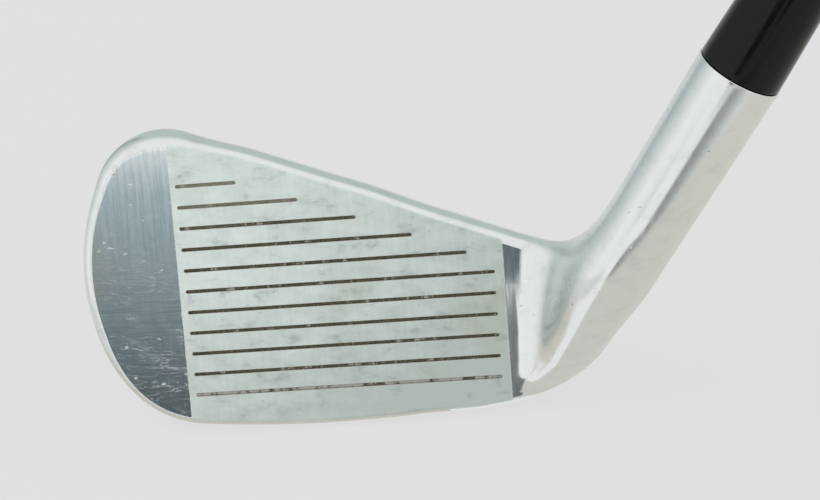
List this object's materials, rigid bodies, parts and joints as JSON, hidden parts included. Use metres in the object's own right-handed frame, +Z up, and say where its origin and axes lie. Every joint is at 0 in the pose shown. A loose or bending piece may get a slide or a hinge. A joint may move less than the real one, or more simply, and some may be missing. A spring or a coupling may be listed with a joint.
{
  "type": "iron golf club",
  "caption": "Right-handed blade-style long iron: forged head with scored flat face, offset hosel, collar, stepped steel shaft and tapered rubber grip.",
  "frame": {"origin": "the point where the sole rests on level ground with the club at address, under the score lines", "axes": "+X along the score lines from toe to heel, -Y the way the face looks, +Z up; the shaft leans toward +X at the lie angle"},
  "size_m": [0.5706, 0.0341, 0.8622],
  "materials": {
    "head_steel": "polished plated steel with a blasted band across the score lines",
    "ferrule_plastic": "gloss",
    "epoxy": "cured adhesive",
    "weight_brass": "turned",
    "shaft_steel": "bright plated",
    "band_film": "satin film",
    "tape_paper": "double-sided paper tape",
    "grip_rubber": "moulded, finely patterned",
    "cap_rubber": "smooth moulded"
  },
  "bodies": {
    "root": {"head": "head_steel", "ferrule": "ferrule_plastic", "hosel_epoxy": "epoxy", "tip_weight": "weight_brass", "shaft": "shaft_steel", "shaft_band": "band_film", "grip_tape": "tape_paper", "grip_sleeve": "grip_rubber", "grip_cap": "cap_rubber"}
  },
  "joints": []
}
